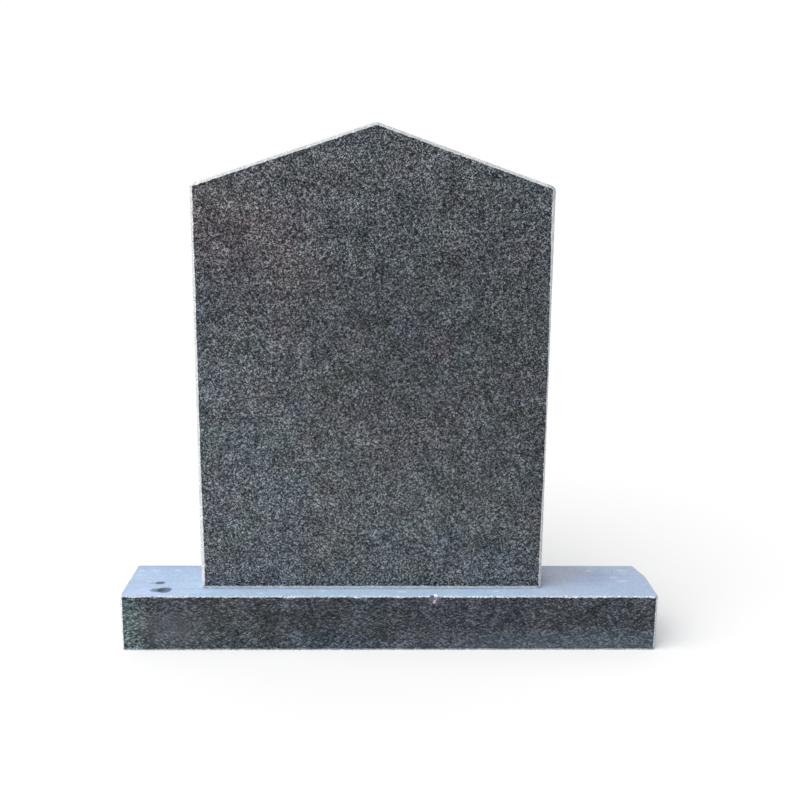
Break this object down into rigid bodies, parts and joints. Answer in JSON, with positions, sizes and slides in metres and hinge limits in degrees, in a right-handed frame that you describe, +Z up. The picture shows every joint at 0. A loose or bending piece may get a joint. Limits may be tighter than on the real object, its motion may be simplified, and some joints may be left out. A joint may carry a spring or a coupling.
{
  "type": "headstone",
  "caption": "Upright dark granite headstone: a slab with a low peaked top and a blank polished face, standing on a long low base with a chipped edge and a flaked corner.",
  "frame": {"origin": "on the ground under the middle of the base", "axes": "+Z up, +X to the right as one reads the face, -Y out of the polished face towards the reader"},
  "size_m": [0.952, 0.152, 0.9145],
  "materials": {
    "tablet_granite": "fine speckled dark grey granite, polished front, pale sawn edges, ends and back",
    "base_granite": "fine speckled dark grey granite, polished front, pale blue-grey sawn top, ends and back"
  },
  "bodies": {
    "root": {"tablet": "tablet_granite", "base": "base_granite"}
  },
  "joints": []
}
